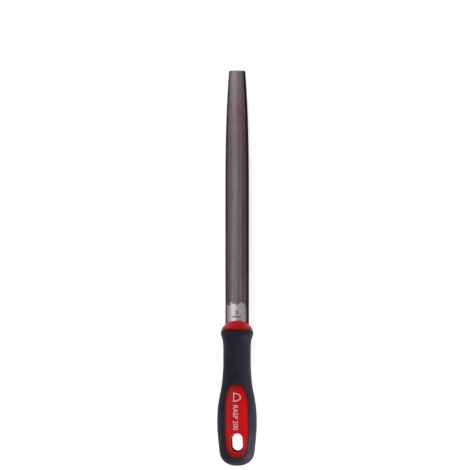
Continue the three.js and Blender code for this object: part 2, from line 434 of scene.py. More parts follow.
def new_material(name):
    """A material with its graph, its Principled shader, and the tool's own coordinates."""
    material = bpy.data.materials.new(name)
    material.use_nodes = True
    graph = Graph(material.node_tree)
    shader = material.node_tree.nodes["Principled BSDF"]
    laid = graph.node("ShaderNodeTexCoord").outputs["Object"]
    back = TOOL.inverted()
    move = {"Vector": laid, "Location": back.translation, "Rotation": back.to_euler()}
    place = graph.node("ShaderNodeMapping", move).outputs["Vector"]
    return material, graph, shader, place


def bump(g, shader, height, distance, strength):
    """Lets a height stand out of the surface by up to a distance."""
    made = g.node("ShaderNodeBump", {"Height": height, "Distance": distance, "Strength": strength})
    g.feed(shader.inputs["Normal"], made.outputs["Normal"])


def tinted(shade, share):
    """A colour made darker."""
    return [channel * share for channel in shade]


# --------------------------------------------------------------------------------------------------
# Materials
# --------------------------------------------------------------------------------------------------
def steel_material(colours):
    """Toothed and ground steel. The mesh says where it is cut, how deep, and how near its edge."""
    material, g, shader, place = new_material("Rasp steel")
    tooth, cut, flank, column = [g.from_mesh(k) for k in ("tooth", "cut", "flank", "column")]
    lengthways = {"Vector": place, "Stretch": (1.0, 0.015, 1.0), "Scale": 420.0}
    rolled = g.effect("Drawn lines", lengthways)["Lines"]
    crossways = {"Vector": place, "Stretch": (0.06, 1.0, 0.06), "Scale": 2600.0}
    ground = g.effect("Drawn lines", crossways)["Lines"]
    wear = g.effect("Handling wear", {"Vector": place, "Patch scale": 45.0})["Patches"]
    tarnish = g.effect("Handling wear", {"Vector": place, "Patch scale": 210.0})["Patches"]
    speckle = g.effect("Surface grain", {"Vector": place, "Scale": 520.0, "Softness": 0.7})["Hollows"]
    tip_light = g.ease(g.parts(place)["Y"], TIP_LIGHT_START * MM, BLADE_HIGH.y)
    brown = [channel * share for channel, share in zip(colours.cut_steel, (0.72, 0.6, 0.55))]

    toothed = g.layered(
        colours.cut_steel,
        (g.ramp(rolled, [(0.3, 0.0), (0.7, 0.6)]), colours.pit_steel),
        (g.times(tarnish, 0.5), brown),
        (g.times(speckle, 0.4), colours.pit_steel),
        (g.times(column, 0.35), colours.pit_steel),
        # Pits painted darker and tooth tips lighter: partly painted shade and highlight on the relief,
        # partly dark oil in the pits.
        (g.ramp(tooth, [(0.0, 0.85), (0.45, 0.25), (0.62, 0.0)]), colours.pit_steel),
        (g.ramp(tooth, [(0.75, 0.0), (1.0, 0.8)]), colours.shoulder_steel),
        # Painted light: the blade is lightened towards its tip.
        (g.times(tip_light, 0.17), colours.shoulder_steel),
    )
    bright = g.layered(
        colours.shoulder_steel,
        (g.ramp(wear, [(0.0, 0.0), (1.0, 0.35)]), colours.cut_steel),
        (g.ramp(ground, [(0.3, 0.0), (0.75, 0.3)]), colours.pit_steel),
    )
    # Painted shade: the steel is darkened towards both edges of the blade, centred a little left of the
    # crown's middle.
    edges = g.ramp(flank, [(0.45, 0.0), (0.72, 0.33), (0.84, 0.9), (0.9, 1.0)])
    whole = g.layered(bright, (cut, toothed), (edges, colours.pit_steel))
    g.feed(shader.inputs["Base Color"], whole)

    smooth = g.math("MULTIPLY_ADD", ground, 0.15, 0.4)
    rough = g.math("MULTIPLY_ADD", wear, 0.15, 0.42)
    finish = g.node("ShaderNodeMix", {0: cut, 2: smooth, 3: rough}, data_type="FLOAT").outputs[0]
    g.feed(shader.inputs["Roughness"], finish)
    shader.inputs["Metallic"].default_value = 1.0
    height = g.math("ADD", g.times(ground, 0.5), g.times(rolled, 0.5))
    bump(g, shader, height, 0.03 * MM, 0.6)
    return material


def nose_foot(g, part):
    """Where the nose meets the collar and light hardly reaches."""
    return g.times(g.ease(part["Y"], 2.6 * MM, 0.4 * MM), g.ease(part["Y"], -8 * MM, -6 * MM))


def slot_wall(g, part):
    """The wall of the hanging slot, from just under its rounded edges."""
    deep_in = g.ease(g.math("ABSOLUTE", part["Z"]), 10.4 * MM, 9.0 * MM)
    near = g.ease(g.math("ABSOLUTE", part["X"]), 7.4 * MM, 6.4 * MM)
    low = g.ease(part["Y"], -60 * MM, -70 * MM)
    return g.times(deep_in, g.times(near, low))


def window_edge_shade(g, part, sizes):
    """Painted shade along the border of the window."""
    x = g.math("DIVIDE", part["X"], sizes.window_width / 2)
    y = g.math("DIVIDE", g.math("SUBTRACT", part["Y"], WINDOW_CENTRE * MM), sizes.window_length / 2)
    across, down = [g.math("POWER", g.math("ABSOLUTE", k), WINDOW_SQUARENESS) for k in (x, y)]
    border = g.ease(g.math("ADD", across, down), 0.4, 1.05)
    return g.times(border, g.ease(part["Y"], -38 * MM, -40 * MM))


def plastic_material(colours, sizes):
    """Hard moulded plastic with a satin gloss."""
    material, g, shader, place = new_material("Red plastic")
    red = colours.core_red
    grain = g.effect("Surface grain", {"Vector": place, "Scale": 2200.0, "Softness": 0.6})["Height"]
    wear = g.effect("Handling wear", {"Vector": place, "Patch scale": 70.0, "Scuff scale": 1300.0})
    part = g.parts(place)
    hole = slot_wall(g, part)
    body = g.layered(
        red,
        (g.ramp(wear["Patches"], [(0.0, 0.0), (1.0, 0.35)]), tinted(red, 0.72)),
        (g.times(wear["Scuffs"], 0.25), [min(1, channel * 0.85 + 0.05) for channel in red]),
        # Painted shade along the window's border.
        (window_edge_shade(g, part, sizes), tinted(red, 0.4)),
        # Painted shade: the nose's foot and the wall of the hanging slot are darkened almost to black.
        (g.math("MAXIMUM", g.times(nose_foot(g, part), 0.75), g.times(hole, 0.92)), tinted(red, 0.08)),
    )
    g.feed(shader.inputs["Base Color"], body)
    gloss = g.math("MULTIPLY_ADD", wear["Patches"], 0.1, 0.3)
    gloss = g.math("MULTIPLY_ADD", wear["Scuffs"], 0.2, gloss)
    g.feed(shader.inputs["Roughness"], g.math("MAXIMUM", gloss, hole))
    shader.inputs["Specular IOR Level"].default_value = 0.1
    bump(g, shader, grain, 0.012 * MM, 0.5)
    return material


def rubber_material(colours):
    """Soft matt grip with a fine moulded grain, darker in its dimple."""
    material, g, shader, place = new_material("Dark soft grip")
    dark = colours.grip_dark
    dusty = [channel * 0.8 + 0.02 for channel in dark]
    grain = g.effect("Surface grain", {"Vector": place, "Scale": 1900.0, "Softness": 0.5})
    wear = g.effect("Handling wear", {"Vector": place, "Patch scale": 40.0, "Scuff scale": 800.0})
    floor = [k * MM for k in (*DIMPLE_CENTRE, DIMPLE_HEIGHT)]
    gone = g.node("ShaderNodeVectorMath", {0: place, 1: floor}, operation="DISTANCE").outputs["Value"]
    body = g.layered(
        dark,
        (g.times(grain["Hollows"], 0.55), tinted(dark, 0.6)),
        (g.ramp(wear["Patches"], [(0.0, 0.0), (1.0, 0.3)]), dusty),
        (g.times(wear["Scuffs"], 0.3), dusty),
        # Painted shade in the dimple: its floor is darkened.
        (g.times(g.ease(gone, 3.8 * MM, 2.6 * MM), 0.55), tinted(dark, 0.25)),
    )
    g.feed(shader.inputs["Base Color"], body)
    g.feed(shader.inputs["Roughness"], g.math("MULTIPLY_ADD", wear["Patches"], -0.12, 0.66))
    shader.inputs["Specular IOR Level"].default_value = 0.16
    bump(g, shader, grain["Height"], 0.05 * MM, 0.7)
    return material


def print_material(colours):
    """Hot-foil silver with a little wear."""
    material, g, shader, place = new_material("Silver print")
    silver = colours.print_silver
    wear = g.effect("Handling wear", {"Vector": place, "Patch scale": 400.0})["Patches"]
    g.feed(shader.inputs["Base Color"], g.layered(silver, (wear, tinted(silver, 0.7))))
    g.feed(shader.inputs["Roughness"], g.math("MULTIPLY_ADD", wear, 0.2, 0.35))
    shader.inputs["Metallic"].default_value = 0.45
    return material


def mark_material(colours):
    """The dull floor of a shallow stamped mark."""
    material, g, shader, place = new_material("Stamped mark")
    dark = colours.mark_dark
    grain = g.effect("Surface grain", {"Vector": place, "Scale": 4000.0, "Softness": 0.5})["Hollows"]
    g.feed(shader.inputs["Base Color"], g.layered(dark, (grain, tinted(dark, 0.6))))
    g.feed(shader.inputs["Roughness"], g.math("MULTIPLY_ADD", grain, 0.2, 0.5))
    shader.inputs["Metallic"].default_value = 0.7
    return material


# --------------------------------------------------------------------------------------------------
# Blade
# --------------------------------------------------------------------------------------------------
SAMPLES = 6  # rows of points in one tooth pitch
TOOTH_PROFILE = np.array([0.0, 0.3, 0.66, 1.0, -1.0, -0.45])  # from heel to tip: back, ridge, pit
COLUMN_POINTS = 4  # points across one column of teeth
TOOTH_ACROSS = np.array([-0.3, 0.6, 1.0, 0.6])
CUT_LEAD = 3.0  # how far before the cut's start the rows of teeth are laid out
FADE_IN, FADE_OUT = 0.7, 0.5  # length over which the teeth begin and end
CROWN_SEED, BACK_SEED = 11, 12
LAND_SHARES = np.array([0.25, 0.6])  # heights of the points on the narrow sides of the section


def blade_section(y, sizes):
    """Width, thickness, edge height and back of the blade at y."""
    tip = sizes.tip / MM
    run = np.clip((y - TAPER_START) / (tip - TAPER_START), 0, 1)
    past = np.clip(y - (tip - TIP_CORNER), 0, TIP_CORNER)
    eased = TIP_CORNER - math.sqrt(TIP_CORNER**2 - past**2)
    width, thickness = sizes.width / MM, sizes.thickness / MM
    width += (sizes.tip_width / MM - width) * run**TAPER_POWER
    thickness += (sizes.tip_thickness / MM - thickness) * run**2
    return width - 2 * eased, thickness - eased / 2, EDGE_HEIGHT, BACK_Z


def crown_arc(width, thickness, edge, back):
    """Radius and centre height of the convex face, and the half-angle it spans."""
    half, rise = width / 2, thickness - edge
    radius = (half**2 + rise**2) / (2 * rise)
    return radius, back + thickness - radius, math.asin(half / radius)


def section_ring(section, shares, inset):
    """Points and outward directions round a half-round section. shares says where each point lies."""
    width, thickness, edge, back = section
    radius, centre, reach = crown_arc(width, thickness, edge, back)
    crown, land, flat = shares
    angles = math.pi / 2 - reach + 2 * reach * crown
    out = np.stack([np.cos(angles), np.sin(angles)], axis=1)
    points = [np.array([0, centre]) + (radius - inset) * out]
    normals = [out]
    half, low = width / 2 - inset, back + inset
    for side, heights in ((-1, land[::-1]), (0, flat), (1, land)):
        if side:
            x, z = np.full(len(heights), side * half), low + (edge - inset) * heights
        else:
            x, z = half * (2 * heights - 1), np.full(len(heights), low)
        points.append(np.stack([x, z], axis=1))
        normals.append(np.tile([side, abs(side) - 1.0], (len(heights), 1)))
    return np.concatenate(points), np.concatenate(normals)


def tooth_field(rows, columns, start, sizes, seed):
    """Relief of staggered raised teeth on a grid of teeth, from -1 in a pit to 1 on a ridge.

    Also returns how much of the surface is cut, which begins at a ragged line, and each column's shade.
    """
    draw = np.random.default_rng(seed)
    across = columns * COLUMN_POINTS
    column = np.arange(across) // COLUMN_POINTS
    step = sizes.tooth_pitch / MM / SAMPLES
    stagger = (SAMPLES // 2) * (column[None, :] % 2)
    index = np.round((rows - rows[0]) / step).astype(int)[:, None] + stagger
    tooth, sample = index // SAMPLES, index % SAMPLES
    strength = draw.uniform(0.72, 1.0, (tooth.max() + 1, columns))
    profile = TOOTH_PROFILE[sample] * np.take_along_axis(strength[:, column], tooth, axis=0)
    shape = TOOTH_ACROSS[np.arange(across) % COLUMN_POINTS]
    relief = np.where(profile > 0, profile * shape, profile * np.abs(shape))
    begins = start + draw.uniform(-2.4, 1.8, columns)[column]
    begins += 0.5 * draw.uniform(-1, 1, across)
    cut = np.clip((rows[:, None] - begins[None, :]) / FADE_IN, 0, 1)
    ends = rows[-1] - 0.8 + draw.uniform(-0.4, 0.2, columns)[column]
    finish = np.clip((ends[None, :] - rows[:, None]) / FADE_OUT, 0, 1)
    shade = np.broadcast_to(draw.uniform(0, 1, columns)[column], relief.shape)
    return relief * cut * finish, cut, shade


def blade_rows(sizes):
    """Where the cross-sections lie along the shoulder, along the teeth and round the tip's corner."""
    tip = sizes.tip / MM
    start = round(sizes.cut_start / MM - CUT_LEAD, 3)
    shoulder = np.arange(SHOULDER_END, start - 0.3, 0.7)
    teeth = np.arange(start, tip - TIP_CORNER, sizes.tooth_pitch / MM / SAMPLES)
    corner = tip - TIP_CORNER * (1 - np.array([0.25, 0.5, 0.72, 0.88, 0.97, 1.0]))
    return shoulder, teeth, corner


def blade_surface(sizes, ring_count, back_first):
    """Relief, cut and shade at each point of the blade outside the handle."""
    shoulder, teeth, corner = blade_rows(sizes)
    toothed = slice(len(shoulder), len(shoulder) + len(teeth))
    relief = np.zeros((toothed.stop + len(corner), ring_count))
    cut, shade = np.zeros_like(relief), np.zeros_like(relief)
    start = sizes.cut_start / MM
    faces = ((0, sizes.crown_columns, CROWN_SEED), (back_first, sizes.back_columns, BACK_SEED))
    for first, columns, seed in faces:
        last = first + columns * COLUMN_POINTS
        for whole, part in zip((relief, cut, shade), tooth_field(teeth, columns, start, sizes, seed)):
            whole[toothed, first:last] = part
        for whole in (cut, shade):
            whole[toothed, last] = whole[toothed, last - 1]
    reached = np.clip((teeth - start) / FADE_IN, 0, 1)
    serration = TOOTH_PROFILE[np.arange(len(teeth)) % SAMPLES] * 0.6
    land_count = len(LAND_SHARES)
    for first in (back_first - land_count, ring_count - land_count):
        relief[toothed, first : first + land_count] = (serration * reached)[:, None]
        cut[toothed, first : first + land_count] = reached[:, None]
    cut[toothed.stop :] = 1
    return relief, cut, shade


def blade_mesh(sizes):
    """The whole forging, from the tang to the tip, with every tooth as relief in its surface."""
    crown = np.linspace(0, 1, sizes.crown_columns * COLUMN_POINTS + 1)
    back = np.linspace(0, 1, sizes.back_columns * COLUMN_POINTS + 1)
    shares = (crown, LAND_SHARES, back)
    back_first = len(crown) + len(LAND_SHARES)
    ring_count = back_first + len(back) + len(LAND_SHARES)
    relief, cut, shade = blade_surface(sizes, ring_count, back_first)
    depth = relief * np.where(relief > 0, sizes.tooth_rise, sizes.pit_depth) / MM

    rings, flank = [], []
    for y, *section in TANG:
        rings.append(ring_at(section_ring(section, shares, 0)[0], y))
        flank.append(np.zeros(ring_count))
    for y, lift in zip(np.concatenate(blade_rows(sizes)), depth):
        section = blade_section(y, sizes)
        places, facing = section_ring(section, shares, sizes.tooth_rise / MM)
        places = places + facing * lift[:, None]
        rings.append(ring_at(places, y))
        # How far each point is from the centre of the painted edge shade, as a share of the half-width.
        flank.append(np.abs(places[:, 0] - SHADE_CENTRE_SHIFT) / (section[0] / 2))

    mesh = tube("blade_forging", rings)
    tang = np.zeros((len(TANG), ring_count))
    layers = {
        "tooth": np.vstack([tang, relief]) * 0.5 + 0.5,
        "cut": np.vstack([tang, cut]),
        "column": np.vstack([tang, shade]),
        "flank": np.array(flank),
    }
    for label, values in layers.items():
        layer = mesh.attributes.new(label, "FLOAT", "POINT")
        layer.data.foreach_set("value", values.astype(np.float32).ravel())
    return mesh


# --------------------------------------------------------------------------------------------------
# Handle
# --------------------------------------------------------------------------------------------------
def butt_share(y):
    """How far y is into the rounded butt, from 0 to 1, and how much the section has closed there."""
    share = np.clip((BUTT_START - np.asarray(y, float)) / BUTT_LENGTH, 0, 1)
    return share, (1 - share**BUTT_SQUARENESS) ** (1 / BUTT_SQUARENESS)


def handle_half(y, sizes):
    """Half-width, half-thickness and section power of the handle's surface at y."""
    wide = along(GRIP_WIDTH, y) * (sizes.palm_width / MM / (2 * PALM_HALF))
    return wide, wide * along(GRIP_FLATNESS, y), along(GRIP_SQUARENESS, y)


def handle_points(angle, y, inset, sizes):
    """Points of the handle's surface, drawn in by inset. Angle 0 is +X, and a quarter turn the front."""
    wide, thick, power = handle_half(y, sizes)
    share, cap = butt_share(y)
    cos, sin = np.cos(angle), np.sin(angle)
    x = (wide - inset) * cap * np.sign(cos) * np.abs(cos) ** (2 / power)
    z = (thick - inset) * cap * np.sign(sin) * np.abs(sin) ** (2 / power)
    rounded = np.where(share > 0, BUTT_START - (BUTT_LENGTH - inset) * share, y)
    return np.stack([x, rounded + 0 * x, z], axis=-1)


def handle_height(x, y, sizes):
    """Height of the handle's front surface over the middle plane at x, y."""
    wide, thick, power = handle_half(y, sizes)
    cap = butt_share(y)[1]
    inside = np.clip(np.abs(x) / (wide * cap), 0, 1) ** power
    return thick * cap * (1 - inside) ** (1 / power)


def window_outline(angle, sizes, grow=0.0):
    """Points of the window's outline, grown by grow."""
    power = 2 / WINDOW_SQUARENESS
    x = (sizes.window_width / MM / 2 + grow) * np.sign(np.cos(angle)) * np.abs(np.cos(angle)) ** power
    y = (sizes.window_length / MM / 2 + grow) * np.sign(np.sin(angle)) * np.abs(np.sin(angle)) ** power
    return np.stack([x, WINDOW_CENTRE + y], axis=-1)


def window_half(y, sizes):
    """Half-width of the window at y, which is 0 past its ends."""
    run = np.clip(np.abs(y - WINDOW_CENTRE) / (sizes.window_length / MM / 2), 0, 1)
    return sizes.window_width / MM / 2 * (1 - run**WINDOW_SQUARENESS) ** (1 / WINDOW_SQUARENESS)


def merged_rows(needed, others, apart):
    """Needed rows, and the others that aren't too close to one of them, in rising order."""
    rows = list(needed)
    for y in others:
        if min(abs(y - r) for r in rows) > apart:
            rows.append(y)
    return np.array(sorted(rows))


def grip_rows(sizes):
    """Where the grip's cross-sections lie: close together at the butt, window ends and collar."""
    half = sizes.window_length / MM / 2
    sweep = np.sin(np.linspace(0, math.pi / 2, 30)) ** (2 / WINDOW_SQUARENESS)
    needed = [WINDOW_CENTRE]
    for side in (-1, 1):
        needed += [WINDOW_CENTRE + side * half * s for s in sweep[1:]]
        needed += [WINDOW_CENTRE + side * (half + d) for d in (0.05, 0.13, 0.24, 0.38, 0.55, 0.75, 1.0)]
    needed += [BUTT_START - BUTT_LENGTH, GRIP_TOP]
    butt = np.sin(np.linspace(0, math.pi / 2, 26)[:-1]) ** (2 / BUTT_SQUARENESS)
    others = list(BUTT_START - BUTT_LENGTH * butt)
    others += list(GRIP_TOP - np.array([0.06, 0.15, 0.27, 0.42, 0.62]))
    others += list(np.arange(-8.6, -0.6, 0.3)) + list(np.arange(-42.0, -8.7, 0.7))
    return merged_rows(needed, others, 0.03)


SIDE_STEPS = np.array([0, 0.12, 0.26, 0.5, 1.0])  # columns beside the parting line, by distance
LIP_STEPS = np.array([1.1, 0.72, 0.5, 0.32, 0.18, 0.08, 0])  # columns beside the window, by distance
SHORT_ARC = 8  # a row that is shorter than this has its columns closer together


def grip_angles(rows, sizes):
    """For each row, the angles of its columns from the handle's side to the window or the middle."""
    fine_count, middle_count = 301, 14
    table = []
    for y in rows:
        wide, _, power = handle_half(y, sizes)
        cap = max(float(butt_share(y)[1]), 1e-3)
        share = float(window_half(y, sizes)) / (float(wide) * cap)
        reach = math.acos(min(1, share) ** (float(power) / 2))
        fine = np.linspace(0, reach, fine_count)
        arc = handle_points(fine, np.full(fine_count, y), 0, sizes)
        run = np.concatenate([[0], np.cumsum(np.linalg.norm(np.diff(arc, axis=0), axis=1))])
        total = max(run[-1], 1e-6)
        scale = min(1, total / SHORT_ARC)
        first, last = SIDE_STEPS * scale, total - LIP_STEPS * scale
        places = np.concatenate([first, np.linspace(first[-1], last[0], middle_count)[1:-1], last])
        closed = run[-1] <= 1e-6
        table.append(np.linspace(0, reach, len(places)) if closed else np.interp(places, run, fine))
    return np.array(table)


def window_distance(places, sizes):
    """How far each point of the grip's surface is from the window's outline, seen from the front."""
    outline = window_outline(np.linspace(0, 2 * math.pi, 1441)[:-1], sizes)
    away = np.full(places.shape[:2], 9.0)  # points well past the window stay out of its rounding
    near = np.abs(places[..., 1] - WINDOW_CENTRE) < sizes.window_length / MM / 2 + 1.5
    away[near] = [np.hypot(*(outline - place).T).min() for place in places[near][:, :2]]
    away[:, -1] = np.where(window_half(places[:, -1, 1], sizes) > 0, 0, away[:, -1])
    return away


def grip_mesh(sizes):
    """The soft grip: an outer skin with two windows, an inner skin, and the rims that join them."""
    rows = grip_rows(sizes)
    angles = grip_angles(rows, sizes)
    count = angles.shape[1]
    y = rows[:, None] + 0 * angles
    flat = handle_points(angles, y, 0, sizes)
    lip = rounding(window_distance(np.stack([flat[..., 0], y], axis=-1), sizes), sizes.lip_rounding / MM)
    top = rounding(GRIP_TOP - y, COLLAR_ROUNDING)
    run = np.hypot(flat[..., 0] - flat[:, :1, 0], flat[..., 2] - flat[:, :1, 2])
    groove = PARTING_DEPTH * np.clip(1 - (run / PARTING_HALF) ** 2, 0, 1)
    groove = groove * (y < -1.5) * (y > BUTT_START - 8)
    outer = handle_points(angles, y, lip + top - groove, sizes)
    inner = handle_points(angles, y, along(GRIP_WALL, rows)[:, None] + 0 * y, sizes)
    inner[-1, :, 1] = GRIP_TOP

    size = len(rows) * count
    grid = quads(len(rows), count)
    is_open = window_half(rows, sizes) > 0
    edge = np.flatnonzero(is_open[:-1] | is_open[1:]) * count + count - 1
    rim = np.column_stack([edge, edge + count, size + edge + count, size + edge])
    last = size - count + np.arange(count - 1)
    crest = np.column_stack([last, last + 1, size + last + 1, size + last])
    quarter = np.concatenate([grid, grid + size, rim, crest])
    skins = np.concatenate([outer.reshape(-1, 3), inner.reshape(-1, 3)])
    points, faces = [], []
    for side_x, side_z in ((1, 1), (1, -1), (-1, 1), (-1, -1)):
        faces.append(quarter + len(points) * len(skins))
        points.append(skins * [side_x, 1, side_z])
    points = np.concatenate(points)
    points[:, 2] -= dimple_depth(points, sizes)
    return mesh_from("grip_moulding", points, np.concatenate(faces), weld=0.002)


def dimple_depth(points, sizes):
    """How far each point sinks for the shallow round dimple in the front of the neck."""
    gone = np.hypot(points[:, 0] - DIMPLE_CENTRE[0], points[:, 1] - DIMPLE_CENTRE[1]) / DIMPLE_RADIUS
    outer_front = points[:, 2] > 8
    return sizes.dimple_depth / MM * np.clip(1 - gone**6, 0, 1) * outer_front


def slot_turn():
    """The turn that leans the hanging slot."""
    cos, sin = math.cos(SLOT_LEAN), math.sin(SLOT_LEAN)
    return np.array([[cos, -sin], [sin, cos]])


def slot_edge(directions, sizes):
    """Where rays from the slot's centre meet its outline, which leans a little and has round ends."""
    radius = sizes.slot_width / MM / 2
    reach = sizes.slot_length / MM / 2 - radius
    found = []
    for dx, dy in directions @ slot_turn():
        straight = radius / max(abs(dx), 1e-9)
        if straight * abs(dy) <= reach:
            found.append(straight)
            continue
        lean = abs(dy) * reach
        found.append(lean + math.sqrt(lean**2 - reach**2 + radius**2))
    return np.array(found)


def slot_inward(spots, sizes):
    """Unit directions from points on the slot's outline towards its middle line."""
    local = (spots - SLOT_CENTRE) @ slot_turn()
    reach = (sizes.slot_length - sizes.slot_width) / 2 / MM
    toward = np.column_stack([0 * local[:, 0], np.clip(local[:, 1], -reach, reach)]) - local
    return toward / np.linalg.norm(toward, axis=1)[:, None] @ slot_turn().T


NARROW_PAD = 3.2  # where a pad is narrower than this, its roundings shrink with it


def pads_mesh(sizes):
    """The window pads on both faces and the wall of the hanging slot between them, as one ring."""
    count = 200
    fine = window_outline(np.linspace(0, 2 * math.pi, 4001), sizes, -PAD_GAP)
    run = np.concatenate([[0], np.cumsum(np.linalg.norm(np.diff(fine, axis=0), axis=1))])
    even = np.linspace(0, run[-1], count + 1)[:-1]
    outside = np.stack([np.interp(even, run, fine[:, k]) for k in (0, 1)], axis=1)
    ray = outside - SLOT_CENTRE
    far = np.linalg.norm(ray, axis=1)
    ray /= far[:, None]
    near = slot_edge(ray, sizes)
    soft = sizes.slot_rounding / MM

    lead = np.array([0, 0.03, 0.1, 0.2, PAD_EDGE])
    tail = soft * np.array([1, 0.72, 0.48, 0.28, 0.13, 0.04, 0])
    middle = np.linspace(0, 1, 16)[1:-1]
    span = far - near
    shrink = np.minimum(1, span / NARROW_PAD)
    places = [far - d * shrink for d in lead]
    places += [far - PAD_EDGE * shrink - m * (span - (PAD_EDGE + soft) * shrink) for m in middle]
    places += [near + d * shrink for d in tail]
    front = []
    for place in places:
        spot = SLOT_CENTRE + ray * place[:, None]
        drop = rounding((far - place) / shrink, PAD_EDGE) * shrink
        drop = drop + rounding((place - near) / shrink, soft) * shrink
        height = handle_height(spot[:, 0], spot[:, 1], sizes) - PAD_SINK - drop
        front.append(np.column_stack([spot, height]))
    front = np.array(front)
    back = front[::-1] * [1, 1, -1]
    inward = np.column_stack([slot_inward(front[-1][:, :2], sizes), np.zeros(count)])
    inward = inward * sizes.slot_draft / MM
    wall = []
    for t in np.linspace(0, 1, 13)[1:-1]:
        wall.append(front[-1] + (back[0] - front[-1]) * t + inward * (1 - abs(2 * t - 1)))
    side = [back[-1] + (front[0] - back[-1]) * t for t in np.linspace(0, 1, 8)[1:-1]]
    loop = np.concatenate([front, wall, back, side])
    faces = quads(len(loop), count, wrap_rows=True, wrap_columns=True)
    return mesh_from("core_pads", loop.reshape(-1, 3), faces)


def body_mesh(sizes):
    """The core's hidden body and its domed nose, closed at both ends."""
    sides = 96
    turn = np.linspace(0, 2 * math.pi, sides + 1)[:-1]
    butt = np.sin(np.linspace(math.pi / 2 - 0.06, 0, 10)) ** (2 / BUTT_SQUARENESS)
    rings = []
    for y in np.concatenate([BUTT_START - BUTT_LENGTH * butt, np.arange(-93, -0.5, 4.0)]):
        wall = float(along(GRIP_WALL, y)) + 0.05
        rings.append(handle_points(turn, np.full(sides, y), wall, sizes))
    radius, height = sizes.nose_radius / MM, sizes.nose_height / MM
    base, foot, brow = -0.08, 0.08, 0.9  # the nose's underside, its rim's foot, and where the dome begins
    waist = radius - 0.7  # where the rim is tucked in
    ball = (radius**2 + (height - brow) ** 2) / (2 * (height - brow))
    reach = math.asin(radius / ball)
    profile = [(9.7, base), (waist, base)]
    for angle in np.linspace(math.pi / 2, 0.1, 8):
        out, up = math.cos(angle), math.sin(angle)
        profile.append((waist + (radius - waist) * out, brow - (brow - foot) * up))
    for angle in np.linspace(reach * 0.97, 0.02, 26):
        profile.append((ball * math.sin(angle), height - ball + ball * math.cos(angle)))
    for r, y in profile:
        rings.append(ring_at(np.column_stack([r * np.cos(turn), r * np.sin(turn)]), y))
    return tube("core_body", rings)


def socket_mesh(blade):
    """The cutter for the hole that the blade and its tang fill."""
    shares = (np.linspace(0, 1, 49), LAND_SHARES, np.linspace(0, 1, 25))
    free, snug = 0.3, 0.05  # room round the tang, and round the blade at the hole's mouth
    rings = []
    for y, width, thickness, edge, back in TANG:
        grown = (width + 2 * free, thickness + 2 * free, edge + free, back - free)
        rings.append(ring_at(section_ring(grown, shares, 0)[0], y - free))
    mouth = section_ring(blade_section(SHOULDER_END, blade), shares, blade.tooth_rise / MM - snug)[0]
    past_nose = blade.tip / MM * 0.1
    rings += [ring_at(mouth, y) for y in (SHOULDER_END - free, past_nose)]
    return tube("socket_cutter", rings)


def slot_cutter(sizes):
    """A straight cutter a little larger than the hanging slot."""
    turn = np.linspace(0, 2 * math.pi, 65)[:-1]
    rays = np.stack([np.cos(turn), np.sin(turn)], axis=1)
    edge = rays * (slot_edge(rays, sizes) + SLOT_CLEARANCE)[:, None] + SLOT_CENTRE
    return tube("slot_cutter", [np.column_stack([edge, np.full(len(edge), z)]) for z in (-30.0, 30.0)])


# --------------------------------------------------------------------------------------------------
# Thin markings that lie on a curved surface
# --------------------------------------------------------------------------------------------------
PRINT_WORDS = "RASP 200"
PRINT_LOW, PRINT_HIGH = (-2.5, -79.0), (1.45, -59.3)  # the box that the words fill
PRINT_RISE = 0.03  # how far the print stands out
MARK_RISE = 0.012  # how far the mark stands out
PLATE_DEPTH = 0.1  # how far every marking reaches into what it lies on
MARK_PLACE = 10.0  # where on the shoulder its surface is taken from
BAR_PITCH, BAR_LENGTH = 1.3, 0.9


def ribbons_mesh(name, ribbons, height, rise):
    """Thin closed plates. Each ribbon is two rows of x, y points, and height gives the surface."""
    points, faces = [], []
    for first, second, closed in ribbons:
        count = len(first)
        start = sum(len(layer) for layer in points)
        for row, lift in ((first, rise), (second, rise), (second, -PLATE_DEPTH), (first, -PLATE_DEPTH)):
            points.append(np.column_stack([row, height(row[:, 0], row[:, 1]) + lift]))
        faces += (quads(4, count, wrap_rows=True, wrap_columns=closed) + start).tolist()
        ends = () if closed else (0, count - 1)
        faces += [[start + layer * count + end for layer in range(4)] for end in ends]
    return mesh_from(name, np.concatenate(points), faces)


def section_sign(centre, height, bulge, stroke):
    """The outline of a half-round section as a sign, with its straight side on the left."""
    turn = np.linspace(-math.pi / 2, math.pi / 2, 25)
    arc = np.stack([bulge * np.cos(turn), height / 2 * np.sin(turn)], axis=1)
    side = np.stack([np.zeros(9), np.linspace(height / 2, -height / 2, 11)[1:-1]], axis=1)
    loop = np.concatenate([arc, side])
    shrink = 1 - 2 * stroke / height
    middle = np.array([bulge * 0.42, 0])
    inner = (loop - middle) * [shrink * 0.95, shrink] + middle
    return loop + centre, inner + centre, True


def stroke_bar(x_from, x_to, y_middle, width):
    """A bar across the surface, from x_from to x_to."""
    x = np.linspace(x_from, x_to, 7)
    y = np.full(7, y_middle)
    return np.stack([x, y - width / 2], axis=1), np.stack([x, y + width / 2], axis=1), False


